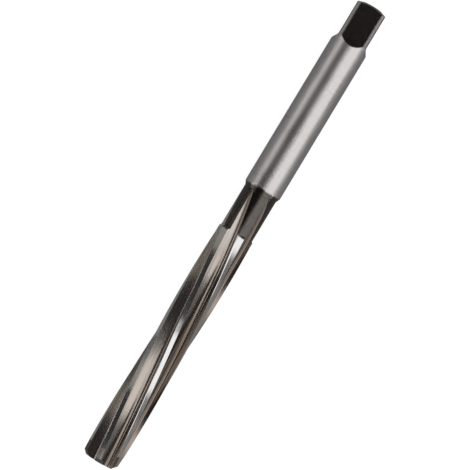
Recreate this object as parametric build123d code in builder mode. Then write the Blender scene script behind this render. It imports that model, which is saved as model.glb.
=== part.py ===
from build123d import *
from math import acos, asin, cos, degrees, radians, sin, sqrt, tan
import os

# Hand reamer, one bar of tool steel. It lies along X with its tip at the low end,
# and one flat of its driving square faces straight up.

# Lengths along the tool
overall_length = 133.0
cutting_length = 66.95
neck_length = 11.55
shoulder_length = 1.15
square_length = 10.25

# Diameters
cutting_diameter = 10.0
neck_diameter = 8.95
shank_diameter = 10.0
square_width = 8.0
end_face_diameter = 5.2

# Tip: a 45 degree bevel, then a slight taper that leads the reamer into the hole
bevel_length = 1.0
taper_length = 3.7
taper_drop = 0.06

# Ends of the lands, of the flats and of the shank
land_chamfer = 0.65
square_runout = 1.48
end_chamfer_angle = 20.0

# Flutes: left-hand helix, right-hand cut, each ground by one wheel with a rounded edge
flute_count = 6
lead = 243.0
first_edge_angle = 8.5
core_diameter = 6.44
root_radius = 0.9
wheel_angle = 96.5

# Run-out: the wheel backs out of the work at an angle below its rake face
runout_ahead = 12.2
runout_gap = 0.55
runout_power = 1.25
runout_angle = 37.0

# Lands: a narrow round margin behind each edge, then a flat ground relief.
# At the tip the relief is steeper and leaves no margin.
margin_angle = 2.0
relief_angle = 16.5
tip_margin_angle = -0.5
tip_relief_angle = 21.0

# Centre holes in both ends
centre_pilot_diameter = 1.6
centre_mouth_diameter = 3.4
centre_pilot_depth = 3.2
centre_angle = 60.0
drill_point_angle = 118.0

# Sizes that follow from the ones above
cutting_radius = cutting_diameter / 2
neck_radius = neck_diameter / 2
shank_radius = shank_diameter / 2
axis_height = max(cutting_radius, shank_radius)
tip_x = -overall_length / 2
neck_end = cutting_length + neck_length
shoulder_end = neck_end + shoulder_length
square_start = overall_length - square_length
end_chamfer_length = (shank_radius - end_face_diameter / 2) * tan(radians(end_chamfer_angle))
tool_axis = Axis((tip_x, 0, axis_height), (1, 0, 0))

# How far the cutting shapes reach beyond the metal that they clear
overrun = 2.0
outside = axis_height + overrun


# A plane square to the tool, with its x axis at an angle from the top
def across(position, angle=0.0):
    turn = radians(angle)
    return Plane(
        origin=(tip_x + position, 0, axis_height),
        x_dir=(0, -sin(turn), cos(turn)),
        z_dir=(1, 0, 0),
    )


# A plane along the tool, with x from the tip and y out towards an angle from the top
def along(angle=0.0):
    turn = radians(angle)
    return Plane(
        origin=(tip_x, 0, axis_height),
        x_dir=(1, 0, 0),
        z_dir=(0, -cos(turn), -sin(turn)),
    )


# How far the helix has turned at a distance from the end of the lands
def helix_angle(position):
    return first_edge_angle - 360 * (position - cutting_length) / lead


# Radius of the ground lands at a distance from the tip
def land_radius(position):
    return cutting_radius - taper_drop * max(0, 1 - position / taper_length)


# Radius of the bevel at a distance from the tip
def bevel_radius(position):
    return land_radius(bevel_length) - (bevel_length - position)


# Turned blank
with BuildPart() as blank:
    with BuildSketch(along()):
        with BuildLine():
            Polyline(
                (0, 0),
                (0, bevel_radius(0)),
                (bevel_length, land_radius(bevel_length)),
                (taper_length, cutting_radius),
                (cutting_length - land_chamfer, cutting_radius),
                (cutting_length, neck_radius),
                (neck_end, neck_radius),
                (shoulder_end, shank_radius),
                (overall_length - end_chamfer_length, shank_radius),
                (overall_length, end_face_diameter / 2),
                (overall_length, 0),
                close=True,
            )
        make_face()
    revolve(axis=tool_axis)

# Profile of the flute wheel, laid with the rake face along x
root_distance = core_diameter / 2 + root_radius
root_x = sqrt(root_distance**2 - root_radius**2)


def wheel_profile():
    with BuildLine() as profile:
        rake = Line((outside, 0), (root_x, 0))
        root = JernArc(rake @ 1, rake % 1, root_radius, wheel_angle)
        wall = PolarLine(root @ 1, cutting_radius, direction=root % 1)
        Polyline(wall @ 1, (outside, (wall @ 1).Y), rake @ 0)
    make_face(profile.edges())


# The wheel lifts until it leaves the neck
lift_angle = radians(-runout_angle)
lift_along = root_x * cos(lift_angle) - root_radius * sin(lift_angle)
full_lift = -lift_along + sqrt(lift_along**2 - root_distance**2 + (neck_radius + root_radius) ** 2)
runout_start = cutting_length - runout_ahead
runout_end = neck_end - runout_gap


def wheel_lift(position):
    travel = max(0, position - runout_start) / (runout_end - runout_start)
    return full_lift * travel**runout_power


# One flute, as the space that the wheel clears
flute_stations = 20
with BuildPart() as flute:
    for station in range(flute_stations + 1):
        position = -overrun + (neck_end + overrun) * station / flute_stations
        lift = wheel_lift(position)
        level = across(position, helix_angle(position))
        shift = level.x_dir * lift * cos(lift_angle) + level.y_dir * lift * sin(lift_angle)
        with BuildSketch(Plane(level.origin + shift, x_dir=level.x_dir, z_dir=level.z_dir)):
            wheel_profile()
    loft()


# Angle from the rake face to where the rounded root passes a radius
def root_angle(radius):
    if radius > root_x:
        return 0
    spread = acos(min(1, (radius**2 + root_x**2) / (2 * radius * root_distance)))
    return degrees(spread - asin(root_radius / root_distance))


# Flat relief behind an edge, as the space that its wheel clears
def relief_profile(radius, start, slope):
    corner = Vector(radius, 0).rotate(Axis.Z, start)
    chord = 2 * radius * sin(radians(slope)) + overrun
    far = corner + Vector(0, chord).rotate(Axis.Z, start + slope)
    with BuildLine() as profile:
        Polyline(corner, far, far + far.normalized() * overrun, corner * (outside / radius), close=True)
    make_face(profile.edges())


# Relief that follows an edge from one distance from the tip to another
def relief_cut(first, last, stations, radius_at, margin, slope):
    with BuildPart() as cut:
        for station in range(stations + 1):
            position = first + (last - first) * station / stations
            radius = radius_at(position)
            with BuildSketch(across(position, helix_angle(position))):
                relief_profile(radius, root_angle(radius) + margin, slope)
        loft()
    return cut.part


reliefs = (
    relief_cut(taper_length, cutting_length, 12, land_radius, margin_angle, relief_angle),
    relief_cut(bevel_length, taper_length, 2, land_radius, tip_margin_angle, tip_relief_angle),
    relief_cut(0, bevel_length, 1, bevel_radius, tip_margin_angle, tip_relief_angle),
)


# A drilled centre hole, as the space from an end face inwards
def centre_hole(end, inwards):
    mouth = centre_mouth_diameter / 2
    pilot = centre_pilot_diameter / 2
    cone_depth = (mouth - pilot) / tan(radians(centre_angle / 2))
    point_depth = pilot / tan(radians(drill_point_angle / 2))
    with BuildSketch(along()) as profile:
        with BuildLine():
            Polyline(
                (end, 0),
                (end, mouth),
                (end + inwards * cone_depth, pilot),
                (end + inwards * centre_pilot_depth, pilot),
                (end + inwards * (centre_pilot_depth + point_depth), 0),
                close=True,
            )
        make_face()
    revolve(profile.sketch, axis=tool_axis, mode=Mode.SUBTRACT)


# The reamer: the blank with its flutes, reliefs, driving square and centre holes
with BuildPart() as hand_reamer:
    add(blank.part)
    for cut in (flute.part, *reliefs):
        for tooth in range(flute_count):
            add(cut.rotate(tool_axis, 360 * tooth / flute_count), mode=Mode.SUBTRACT)
    for side in range(4):
        with BuildSketch(along(90 * side)):
            with BuildLine():
                Polyline(
                    (square_start, square_width / 2),
                    (square_start - square_runout, shank_radius),
                    (square_start - square_runout, outside),
                    (overall_length + overrun, outside),
                    (overall_length + overrun, square_width / 2),
                    close=True,
                )
            make_face()
        extrude(amount=shank_diameter, both=True, mode=Mode.SUBTRACT)
    centre_hole(0, 1)
    centre_hole(overall_length, -1)

hand_reamer.part.label = "hand_reamer"
os.makedirs("parts", exist_ok=True)
export_step(hand_reamer.part, "parts/hand_reamer.step")
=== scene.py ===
from math import acos, asin, atan2, cos, degrees, hypot, pi, radians, sin, sqrt, tan

import bpy
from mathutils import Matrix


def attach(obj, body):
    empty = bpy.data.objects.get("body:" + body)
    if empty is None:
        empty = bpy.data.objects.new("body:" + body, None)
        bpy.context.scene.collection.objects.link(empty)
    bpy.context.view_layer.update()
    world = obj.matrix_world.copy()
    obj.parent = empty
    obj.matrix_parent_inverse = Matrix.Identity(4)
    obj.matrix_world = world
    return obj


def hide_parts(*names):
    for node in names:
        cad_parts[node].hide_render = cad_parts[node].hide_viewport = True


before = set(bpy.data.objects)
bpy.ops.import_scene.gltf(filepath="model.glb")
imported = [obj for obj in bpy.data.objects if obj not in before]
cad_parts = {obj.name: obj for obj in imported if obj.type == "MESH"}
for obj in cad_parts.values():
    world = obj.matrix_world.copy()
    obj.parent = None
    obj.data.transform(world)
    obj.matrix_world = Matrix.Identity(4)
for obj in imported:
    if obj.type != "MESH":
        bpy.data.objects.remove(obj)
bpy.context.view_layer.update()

# Camera. It looks straight down on the tool, which lies across the picture with its
# tip at the lower left and its driving square at the upper right.
axis_height = 0.005
view_width = 0.1180
view_distance = 0.6
view_centre = (-0.00028, 0.00007)
lean = 58.915
sensor_width = 36
bpy.ops.object.camera_add(
    location=(*view_centre, axis_height + view_distance),
    rotation=(0, 0, radians(-lean)),
)
camera = bpy.context.object
camera.data.sensor_width = sensor_width
camera.data.lens = sensor_width * view_distance / view_width
bpy.context.scene.camera = camera
bpy.context.scene.view_settings.view_transform = "Standard"


# Studio light. Under a dark ceiling, a long softbox hangs on the tool's right and a weak one
# on its left, dimmed towards the driving end. The neck sees an added light of its own, and
# mainly the rough shank sees the stronger softboxes towards both ends.
class Wire:
    def __init__(self, tree, socket=None):
        self.tree = tree
        self.socket = socket

    def node(self, kind, settings={}, sockets={}, out=0):
        made = self.tree.nodes.new("ShaderNode" + kind)
        for name, value in settings.items():
            if name == "stops":
                ramp = made.color_ramp
                for place, level in value[2:]:
                    ramp.elements.new(place)
                for element, (place, level) in zip(ramp.elements, value):
                    colour = level if isinstance(level, tuple) else (level, level, level)
                    element.position = place
                    element.color = (*colour, 1)
            else:
                setattr(made, name, value)
        for name, value in sockets.items():
            if isinstance(value, Wire):
                self.tree.links.new(value.socket, made.inputs[name])
            else:
                made.inputs[name].default_value = value
        return Wire(self.tree, made.outputs[out])

    def maths(self, operation, *values):
        return self.node("Math", {"operation": operation}, dict(enumerate(values)))

    def __add__(self, other):
        return self.maths("ADD", self, other)

    def __sub__(self, other):
        return self.maths("SUBTRACT", self, other)

    def __rsub__(self, other):
        return self.maths("SUBTRACT", other, self)

    def __mul__(self, other):
        return self.maths("MULTIPLY", self, other)

    def __truediv__(self, other):
        return self.maths("DIVIDE", self, other)

    __radd__ = __add__
    __rmul__ = __mul__

    def vector_maths(self, operation, other):
        return self.node("VectorMath", {"operation": operation}, {0: self, 1: other})

    # Noise from 0 to 1 on a place, with its fineness along, across and up
    def grain(self, fineness, detail):
        fine = self.vector_maths("MULTIPLY", fineness)
        noise = self.node("TexNoise", {}, {"Vector": fine, "Scale": 1, "Detail": detail})
        return noise.between(0.3, 0.7)

    # From 0 at the low value to 1 at the high one, with soft ends
    def between(self, low, high):
        sockets = {"Value": self, "From Min": low, "From Max": high}
        return self.node("MapRange", {"interpolation_type": "SMOOTHSTEP"}, sockets)

    def blend(self, low, high):
        sockets = {0: self, 6: low, 7: high}
        return self.node("Mix", {"data_type": "RGBA"}, sockets, 2)

    def parts(self):
        split = self.node("SeparateXYZ", {}, {0: self}).socket.node
        return [Wire(self.tree, socket) for socket in split.outputs]

    # Rays for which a material or the world is the plain white background
    def background_rays(self, share_of_reflections):
        seen = self.node("LightPath", {}, {}, "Is Camera Ray")
        through = self.node("LightPath", {}, {}, "Is Transmission Ray")
        mirrored = self.node("LightPath", {}, {}, "Is Glossy Ray")
        return seen + through + mirrored * share_of_reflections


# Light round the tool. Each stop is an angle from straight up, positive to the right, and
# the light that comes from there.
light_at_middle = (
    (-180, 0.15), (-95, 0.09), (-75, 0.13), (-64, (0.24, 0.23, 0.21)), (-49, (0.22, 0.21, 0.19)),
    (-45, (0.028, 0.024, 0.024)), (9, 0.03), (12.5, 0.22), (19, 0.30), (22, 1.00), (62, 1.00),
    (66, 0.95), (73, 0.20), (95, 0.11), (130, 0.12), (180, 0.15),
)
light_at_neck = ((-180, 0.0), (8, 0.0), (12, 0.65), (18, 0.65), (22, 0.0), (180, 0.0))
light_at_ends = (
    (-180, 0.14), (-110, 0.60), (-90, 1.40), (-78, 2.40), (-66, 3.70), (-50, 3.70), (-42, 0.60),
    (-34, 0.08), (-8, 0.06), (-1, 0.70), (7, 3.20), (18, 2.80), (26, 1.15), (60, 1.10), (70, 2.60),
    (84, 2.70), (94, 0.50), (130, 0.16), (180, 0.14),
)

# Zones along the tool, by how far a direction leans towards the driving end, from -1 to 1.
# Each zone fades in over its first pair of values and out over its second. The one for the
# ends is counted both ways from its middle.
neck_zone = ((0.004, 0.014), (0.03, 0.05))
ends_zone = ((0.15, 0.22), (0.55, 0.70))
middle_of_ends = 0.04

# The dimming fades in along the tool, and it covers what is further left than these angles
dimming = 0.4
dimmed_along = (0.07, 0.11)
dimmed_left_of = (-46.08, -39.96)

studio = bpy.data.worlds.new("studio")
studio.use_nodes = True
bpy.context.scene.world = studio
air = Wire(studio.node_tree)
along, across, up = air.node("TexCoord", {}, {}, "Generated").parts()
side_angle = air.maths("ARCTAN2", 0 - across, up) / (2 * pi) + 0.5


# An angle from straight up as a share of the full turn that starts straight below
def turn_share(angle):
    return angle / 360 + 0.5


def softbox(levels):
    stops = [(turn_share(angle), level) for angle, level in levels]
    return side_angle.node("ValToRGB", {"stops": stops}, {"Fac": side_angle})


def zone(direction, fade_in, fade_out):
    return direction.between(*fade_in) * (1 - direction.between(*fade_out))


at_neck = zone(along, *neck_zone)
at_ends = zone(air.maths("ABSOLUTE", along - middle_of_ends), *ends_zone)
sockets = {0: at_neck, 6: softbox(light_at_middle), 7: softbox(light_at_neck)}
light = air.node("Mix", {"data_type": "RGBA", "blend_type": "ADD"}, sockets, 2)
light = at_ends.blend(light, softbox(light_at_ends))
on_left = 1 - side_angle.between(*map(turn_share, dimmed_left_of))
light = (along.between(*dimmed_along) * on_left * dimming).blend(light, (0, 0, 0, 1))
background = air.background_rays(share_of_reflections=0).blend(light, (1, 1, 1, 1))
studio.node_tree.links.new(background.socket, studio.node_tree.nodes["Background"].inputs["Color"])

# Floor, a plain matt sheet. It looks pale by a glow that the camera sees, and reflections
# see faintly. The light that it reflects comes on top of that and keeps the tool's shadow.
floor_size = 4
bpy.ops.mesh.primitive_plane_add(size=floor_size)
floor = bpy.context.object
floor.name = "floor"
sheet = bpy.data.materials.new("pale floor")
sheet.use_nodes = True
paper = Wire(sheet.node_tree)
shader = sheet.node_tree.nodes["Principled BSDF"]
shader.inputs["Base Color"].default_value = (0.10, 0.10, 0.10, 1)
shader.inputs["Roughness"].default_value = 1
shader.inputs["Specular IOR Level"].default_value = 0
shader.inputs["Emission Strength"].default_value = 1
glow = paper.background_rays(share_of_reflections=0.12).blend((0, 0, 0, 1), (0.955, 0.955, 0.955, 1))
sheet.node_tree.links.new(glow.socket, shader.inputs["Emission Color"])
floor.data.materials.append(sheet)

# Reamer bar, one piece of tool steel: a turned bar whose front half has six left-hand
# flutes ground into it. The flutes run out in the neck. All sizes are in millimetres,
# and distances along the bar are from the tip.
mm = 0.001
overall_length = 133.0
cutting_length = 66.95
neck_end = 78.5
shoulder_end = 79.65
cutting_radius = 5.0
neck_radius = 4.475
shank_radius = 5.0
bevel_length = 1.0
taper_length = 3.7
taper_drop = 0.06
land_chamfer = 0.65
end_chamfer_length = 0.8735
end_face_radius = 2.6
square_start = 122.75
flute_count = 6
lead = 243.0
first_edge_angle = 8.5
core_radius = 3.22
root_radius = 0.9
wheel_angle = 96.5
runout_start = cutting_length - 12.2
runout_end = neck_end - 0.55
runout_power = 1.25
runout_angle = 37.0
margin_angle = 2.0
relief_angle = 16.5
tip_margin_angle = -0.5
tip_relief_angle = 21.0

root_distance = core_radius + root_radius
root_x = sqrt(root_distance**2 - root_radius**2)
lift_angle = radians(-runout_angle)
lift_along = root_x * cos(lift_angle) - root_radius * sin(lift_angle)
full_lift = -lift_along + sqrt(lift_along**2 - root_distance**2 + (neck_radius + root_radius) ** 2)


def helix_angle(position):
    return first_edge_angle - 360 * (min(position, runout_end) - cutting_length) / lead


def land_radius(position):
    return cutting_radius - taper_drop * max(0, 1 - position / taper_length)


# Radius of the turned bar, as far as the end of the neck
def turned_radius(position):
    if position < bevel_length:
        return land_radius(bevel_length) - (bevel_length - position)
    if position < cutting_length:
        step = max(0, position - cutting_length + land_chamfer) / land_chamfer
        return land_radius(position) - step * (cutting_radius - neck_radius)
    return neck_radius


# Outer radius at an angle behind an edge: the round margin, then the flat relief
def outer_radius(position, angle, at_tip):
    turned = turned_radius(position)
    if position >= cutting_length:
        return turned
    start = margin_angle
    slope = relief_angle
    ground = land_radius(position)
    if at_tip:
        start = tip_margin_angle
        slope = tip_relief_angle
        ground = turned
        if ground < root_x:
            spread = acos((ground**2 + root_x**2) / (2 * ground * root_distance))
            start += degrees(spread - asin(root_radius / root_distance))
    behind = angle - start
    if behind <= 0 or behind > 2 * slope:
        return turned
    return min(turned, ground * cos(radians(slope)) / cos(radians(slope - behind)))


# A point of the flute wheel's profile, by its distance along the rake, root and wall
rake_length = 1.5
arc_length = root_radius * radians(wheel_angle)
wall_length = 5.0


def wheel_point(travel, lift):
    x = root_x + max(0, rake_length - travel)
    y = 0
    if travel > rake_length:
        turn = min(travel - rake_length, arc_length) / root_radius
        x = root_x - root_radius * sin(turn)
        y = -root_radius * (1 - cos(turn))
    if travel > rake_length + arc_length:
        down = radians(wheel_angle)
        x -= (travel - rake_length - arc_length) * cos(down)
        y -= (travel - rake_length - arc_length) * sin(down)
    return x + lift * cos(lift_angle), y + lift * sin(lift_angle)


def wheel_lift(position):
    travel = max(0, position - runout_start) / (runout_end - runout_start)
    return full_lift * min(1, travel) ** runout_power


# Where the wheel's profile leaves the bar, found by halving the search from inside
halvings = 40


def leaving_point(position, lift, inside, outside, behind, at_tip):
    for halving in range(halvings):
        middle = (inside + outside) / 2
        x, y = wheel_point(middle, lift)
        angle = degrees(atan2(y, x))
        if hypot(x, y) < outer_radius(position, angle + behind, at_tip):
            inside = middle
        else:
            outside = middle
    return inside


# One ring round the bar: for each tooth its flute from edge to heel, then the land
# before the next edge. Angles grow to the right, and the ring runs against them.
flute_steps = 30
relief_steps = 8
margin_steps = 3
tooth_steps = flute_steps + relief_steps + margin_steps
ring_steps = flute_count * tooth_steps
pitch = 360 / flute_count

# The tip has no margin, and there the margin's steps take this share of the land
tip_share = 0.3


def ring_of(position, at_tip):
    if position > runout_end:
        radius = neck_radius
        if position > neck_end:
            radius = shank_radius
        if position >= overall_length:
            radius = end_face_radius
        angles = [helix_angle(position) - 360 * step / ring_steps for step in range(ring_steps)]
        return [(radius, angle) for angle in angles]
    lift = wheel_lift(position)
    centre_x = root_x + lift * cos(lift_angle)
    centre_y = -root_radius + lift * sin(lift_angle)
    deepest = rake_length + root_radius * (atan2(-centre_y, -centre_x) - pi / 2)
    edge = leaving_point(position, lift, deepest, 0, 0, at_tip)
    heel = leaving_point(position, lift, deepest, rake_length + arc_length + wall_length, pitch, at_tip)
    tooth = []
    for step in range(flute_steps + 1):
        x, y = wheel_point(edge + (heel - edge) * step / flute_steps, lift)
        tooth.append((hypot(x, y), degrees(atan2(y, x))))
    edge_angle = tooth[0][1]
    heel_angle = tooth[-1][1]
    middle_of_land = (heel_angle + pitch + edge_angle) / 2
    margin_end = min(margin_angle, middle_of_land)
    if at_tip:
        margin_end = edge_angle + tip_share * (heel_angle + pitch - edge_angle)
    for step in range(1, relief_steps + 1):
        angle = heel_angle + (margin_end - pitch - heel_angle) * step / relief_steps
        tooth.append((outer_radius(position, angle + pitch, at_tip), angle))
    for step in range(1, margin_steps):
        angle = margin_end - pitch + (edge_angle - margin_end) * step / margin_steps
        tooth.append((outer_radius(position, angle + pitch, at_tip), angle))
    turn = helix_angle(position)
    return [(radius, turn + angle - pitch * k) for k in range(flute_count) for radius, angle in tooth]


def spaced(first, last, count):
    return [first + (last - first) * step / count for step in range(count)]


# Rings along the bar, closest where its shape changes fastest: over the bevel, where the
# lands' end chamfer cuts through their reliefs, and where the flutes leave the neck
chamfer_start = cutting_length - land_chamfer
reliefs_crossed = chamfer_start + 0.21
flutes_narrow = runout_end - 2
neck_round = runout_end + 0.08
shank_start = shoulder_end + 1
end_chamfer_start = overall_length - end_chamfer_length
tip_places = (*spaced(0, bevel_length, 8), *spaced(bevel_length, taper_length, 6), taper_length)
other_places = (
    *spaced(taper_length, runout_start, 70),
    *spaced(runout_start, chamfer_start, 20),
    *spaced(chamfer_start, reliefs_crossed, 7),
    *spaced(reliefs_crossed, cutting_length, 5),
    *spaced(cutting_length, flutes_narrow, 24),
    *spaced(flutes_narrow, runout_end, 16),
    runout_end,
    neck_round,
    neck_end,
    shoulder_end,
    *spaced(shank_start, end_chamfer_start, 12),
    end_chamfer_start,
    overall_length,
)
stations = [(position, True) for position in tip_places]
stations += [(position, False) for position in other_places]


# Metres from the middle of the bar
def bar_x(position):
    return (position - overall_length / 2) * mm


bpy.ops.object.select_all(action="DESELECT")
bpy.ops.mesh.primitive_grid_add(x_subdivisions=len(stations) - 1, y_subdivisions=ring_steps)
reamer = bpy.context.object
reamer.name = "reamer"
rings = [ring_of(position, at_tip) for position, at_tip in stations]
for vertex in reamer.data.vertices:
    step, row = divmod(vertex.index, len(stations))
    radius, angle = rings[row][step % ring_steps]
    vertex.co = (
        bar_x(stations[row][0]),
        -radius * sin(radians(angle)) * mm,
        axis_height + radius * cos(radians(angle)) * mm,
    )

# Finishes by place, numbered in the order in which their materials are made below
shank_finish, flute_finish, land_finish, black_finish = range(4)
for face in reamer.data.polygons:
    step, row = divmod(min(face.vertices), len(stations))
    position = (stations[row][0] + stations[row + 1][0]) / 2
    if position > end_chamfer_start:
        face.material_index = black_finish
    elif position > shoulder_end:
        face.material_index = shank_finish
    elif step % tooth_steps < flute_steps and position < runout_end:
        face.material_index = flute_finish
    elif position < chamfer_start:
        face.material_index = land_finish
    else:
        face.material_index = black_finish

weld_distance = 1e-7
sharp_angle = radians(12)
bpy.ops.object.mode_set(mode="EDIT")
bpy.ops.mesh.select_all(action="SELECT")
bpy.ops.mesh.remove_doubles(threshold=weld_distance)
bpy.ops.mesh.select_all(action="DESELECT")
bpy.ops.mesh.select_mode(type="EDGE")
bpy.ops.mesh.select_non_manifold()
bpy.ops.mesh.fill_holes(sides=0)
bpy.ops.mesh.select_all(action="SELECT")
bpy.ops.mesh.normals_make_consistent(inside=False)
bpy.ops.object.mode_set(mode="OBJECT")
bpy.ops.object.shade_smooth_by_angle(angle=sharp_angle)


def finish(name):
    steel = bpy.data.materials.new(name)
    steel.use_nodes = True
    reamer.data.materials.append(steel)
    shader = steel.node_tree.nodes["Principled BSDF"]
    shader.inputs["Metallic"].default_value = 1
    place = Wire(steel.node_tree).node("TexCoord", {}, {}, "Object")
    return shader, place.vector_maths("SUBTRACT", (0, 0, axis_height))


def feed(shader, **wires):
    for name, wire in wires.items():
        shader.id_data.links.new(wire.socket, shader.inputs[name.replace("_", " ")])


# Places turned back round the axis, so that they stay the same all along a flute
def flute_place(place):
    turn = place.parts()[0] * (2 * pi / (lead * mm))
    return place.node("VectorRotate", {"rotation_type": "X_AXIS"}, {"Vector": place, "Angle": turn})


def scratches(height, depth):
    return height.node("Bump", {}, {"Height": height, "Strength": 1, "Distance": depth})


# Shank, ground round between centres: fine rings, and slight clouds in their sheen.
# Beside the flats it is black, but for a bright line along each corner of the square.
shader, place = finish("ground shank")
position, across, up = place.parts()
flats_begin = bar_x(square_start)
diagonal = across.maths("ABSOLUTE", across) - up.maths("ABSOLUTE", up)
off_corner = diagonal.maths("ABSOLUTE", diagonal).between(0.25 * mm, 0.7 * mm)
oxide = position.between(flats_begin - 0.6 * mm, flats_begin + 0.4 * mm) * off_corner
rings = place.grain((15000, 90, 90), 2)
clouds = place.grain((90, 260, 260), 2)
bright = rings.blend((0.610, 0.582, 0.572, 1), (0.680, 0.652, 0.642, 1))
feed(
    shader,
    Base_Color=(oxide * 0.8).blend(bright, (0.13, 0.12, 0.11, 1)),
    Roughness=0.27 + clouds * 0.04,
    Normal=scratches(rings, 2.3e-6),
)

# Flutes, ground lengthways. Heat has browned them in patches. The rake side of each flute is
# painted dark brown as painted shade. The run-outs are paler and duller. A pitch is counted from 0 just
# past one edge to 1.
past_edge = 0.04
shader, place = finish("ground flutes")
place = flute_place(place)
position, across, up = place.parts()
first_edge = first_edge_angle + 360 * (cutting_length - overall_length / 2) / lead
round_bar = across.maths("ARCTAN2", 0 - across, up)
pitches = round_bar * (flute_count / (2 * pi)) - first_edge * flute_count / 360
tooth = pitches.maths("FRACT", pitches - past_edge)
lifted = position.between(bar_x(runout_start), bar_x(runout_end))
# Painted shade: a dark brown laid on the rake side of each flute, reaching further in the run-outs
painted_rake_shade = (tooth + lifted * 0.2).between(0.68, 0.86)
streaks = place.grain((40, 5200, 5200), 3)
heat = place.grain((28, 620, 620), 2)
tint = heat.blend((0.385, 0.350, 0.305, 1), (0.620, 0.550, 0.500, 1))
tint = (lifted * 0.7).blend(tint, (0.860, 0.810, 0.750, 1))
tint = (streaks * 0.3).blend(tint, (0.300, 0.262, 0.235, 1))
feed(
    shader,
    Base_Color=painted_rake_shade.blend(tint, (0.140, 0.115, 0.100, 1)),
    Roughness=0.16 + streaks * 0.05 + lifted * 0.19,
    Normal=scratches(streaks, 4.5e-6),
)

# Lands, ground last of all and nearly bright as a mirror. On the tip's taper they are duller, and
# painted darker there as painted shade.
taper_fade = 0.2
shader, place = finish("ground lands")
past_taper = place.parts()[0].between(bar_x(taper_length - taper_fade), bar_x(taper_length + taper_fade))
# Painted shade on the tip's taper: its colour is darkened there, and it is made rougher too
taper_shade_and_dullness = 1 - past_taper
streaks = flute_place(place).grain((50, 8000, 8000), 2)
bright = streaks.blend((0.80, 0.795, 0.78, 1), (0.88, 0.870, 0.865, 1))
feed(
    shader,
    Base_Color=taper_shade_and_dullness.blend(bright, (0.24, 0.21, 0.20, 1)),
    Roughness=0.10 + streaks * 0.05 + taper_shade_and_dullness * 0.08,
    Normal=scratches(streaks, 1e-6),
)

# Neck, shoulder and square in black oxide, which the last grinding of the shank has
# taken off the top of the two slopes that lead up to it
shader, place = finish("black oxide")
position, across, up = place.parts()
squared = across * across + up * up
slope_top = squared.maths("SQRT", squared).between(4.83 * mm, 4.87 * mm)
ground = slope_top * (1 - position.between(flats_begin - 0.1 * mm, flats_begin))
mottle = place.grain((1500, 1500, 1500), 4)
black = mottle.blend((0.118, 0.104, 0.096, 1), (0.148, 0.132, 0.122, 1))
feed(
    shader,
    Base_Color=ground.blend(black, (0.50, 0.48, 0.47, 1)),
    Roughness=0.14 + mottle * 0.04,
    Normal=scratches(mottle, 1.5e-6),
)

# Driving square: four flats milled to the end of the shank. A wheel's slope leads
# from the shank down to each flat, and black oxide covers them.
square_width = 8.0
square_runout = 1.48
beyond = 2.0
cutter_size = 4 * shank_radius * mm


def cut_away(cutter, finish_name):
    cutter.data.materials.append(bpy.data.materials[finish_name])
    modifier = reamer.modifiers.new("cut", "BOOLEAN")
    modifier.operation = "DIFFERENCE"
    modifier.solver = "EXACT"
    modifier.material_mode = "TRANSFER"
    modifier.object = cutter
    bpy.ops.object.select_all(action="DESELECT")
    reamer.select_set(True)
    bpy.context.view_layer.objects.active = reamer
    bpy.ops.object.modifier_apply(modifier=modifier.name)
    bpy.data.objects.remove(cutter)


rise = beyond * (shank_radius - square_width / 2) / square_runout
flat_line = (
    (square_start - square_runout - beyond, shank_radius + rise),
    (square_start, square_width / 2),
    (overall_length + beyond, square_width / 2),
)
for side in range(4):
    bpy.ops.mesh.primitive_grid_add(x_subdivisions=2, y_subdivisions=1, size=cutter_size)
    cutter = bpy.context.object
    for vertex in cutter.data.vertices:
        position, height = flat_line[vertex.index % len(flat_line)]
        vertex.co.x = bar_x(position)
        vertex.co.z = height * mm
    bpy.ops.object.mode_set(mode="EDIT")
    bpy.ops.mesh.select_all(action="SELECT")
    bpy.ops.mesh.extrude_region_move(TRANSFORM_OT_translate={"value": (0, 0, cutter_size)})
    bpy.ops.mesh.select_all(action="SELECT")
    bpy.ops.mesh.normals_make_consistent(inside=False)
    bpy.ops.object.mode_set(mode="OBJECT")
    cutter.rotation_euler.x = side * pi / 2
    cutter.location.z = axis_height
    cut_away(cutter, "black oxide")

# Centre holes: a 60 degree centre drill has bored both ends, and the bar was ground
# between centres on them. Each cutter starts a little outside its end face.
mouth_radius = 1.7
pilot_radius = 0.8
pilot_depth = 3.2
point_radius = 0.001
centre_angle = 60
drill_point_angle = 118
centre_slope = tan(radians(centre_angle / 2))
drill_point_slope = tan(radians(drill_point_angle / 2))
outside = 1
start_radius = mouth_radius + outside * centre_slope
cone_depth = (mouth_radius - pilot_radius) / centre_slope
point_depth = pilot_radius / drill_point_slope
for end, inwards in ((0, 1), (overall_length, -1)):
    bpy.ops.mesh.primitive_circle_add(
        vertices=64,
        radius=start_radius * mm,
        fill_type="NGON",
        location=(bar_x(end - inwards * outside), 0, axis_height),
        rotation=(0, pi / 2, 0),
    )
    cutter = bpy.context.object
    bpy.ops.object.mode_set(mode="EDIT")
    bpy.ops.mesh.select_all(action="SELECT")
    radius = start_radius
    for travel, next_radius in (
        (outside + cone_depth, pilot_radius),
        (pilot_depth - cone_depth, pilot_radius),
        (point_depth, point_radius),
    ):
        bpy.ops.mesh.extrude_region_move(TRANSFORM_OT_translate={"value": (inwards * travel * mm, 0, 0)})
        ratio = next_radius / radius
        bpy.ops.transform.resize(value=(ratio, ratio, ratio))
        radius = next_radius
    bpy.ops.mesh.select_all(action="SELECT")
    bpy.ops.mesh.normals_make_consistent(inside=False)
    bpy.ops.object.mode_set(mode="OBJECT")
    cut_away(cutter, "ground flutes")
bpy.ops.object.shade_smooth_by_angle(angle=sharp_angle)

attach(reamer, "root")
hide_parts("hand_reamer")
